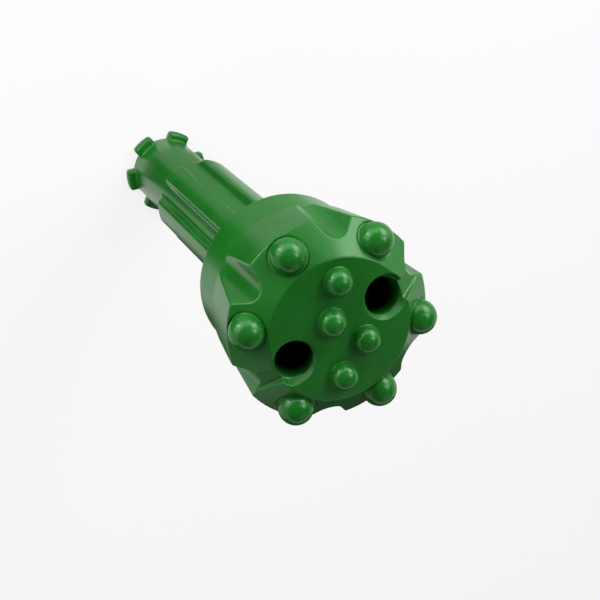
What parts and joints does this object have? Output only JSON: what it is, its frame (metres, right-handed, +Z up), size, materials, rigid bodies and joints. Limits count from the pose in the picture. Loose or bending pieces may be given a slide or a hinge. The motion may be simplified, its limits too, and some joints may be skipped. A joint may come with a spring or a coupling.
{
  "type": "button drill bit",
  "caption": "Button drill bit for a small down-the-hole hammer: domed buttons in a notched head, slanted flushing holes, and a splined shank with tail lugs.",
  "frame": {"origin": "centre of the tail face, on the bit's axis, at the level that the bit stands on", "axes": "+Z up the bit's axis from the tail to the front face; +X through one of the two flushing holes"},
  "size_m": [0.0724, 0.076, 0.2058],
  "materials": {
    "body_paint": "gloss green enamel sprayed over forged steel",
    "gauge_button_paint": "gloss green enamel sprayed over cemented carbide",
    "front_button_paint": "gloss green enamel sprayed over cemented carbide"
  },
  "bodies": {
    "root": {"bit_body": "body_paint", "gauge_button_1": "gauge_button_paint", "gauge_button_2": "gauge_button_paint", "gauge_button_3": "gauge_button_paint", "gauge_button_4": "gauge_button_paint", "gauge_button_5": "gauge_button_paint", "gauge_button_6": "gauge_button_paint", "front_button_1": "front_button_paint", "front_button_2": "front_button_paint", "front_button_3": "front_button_paint", "front_button_4": "front_button_paint"}
  },
  "joints": []
}
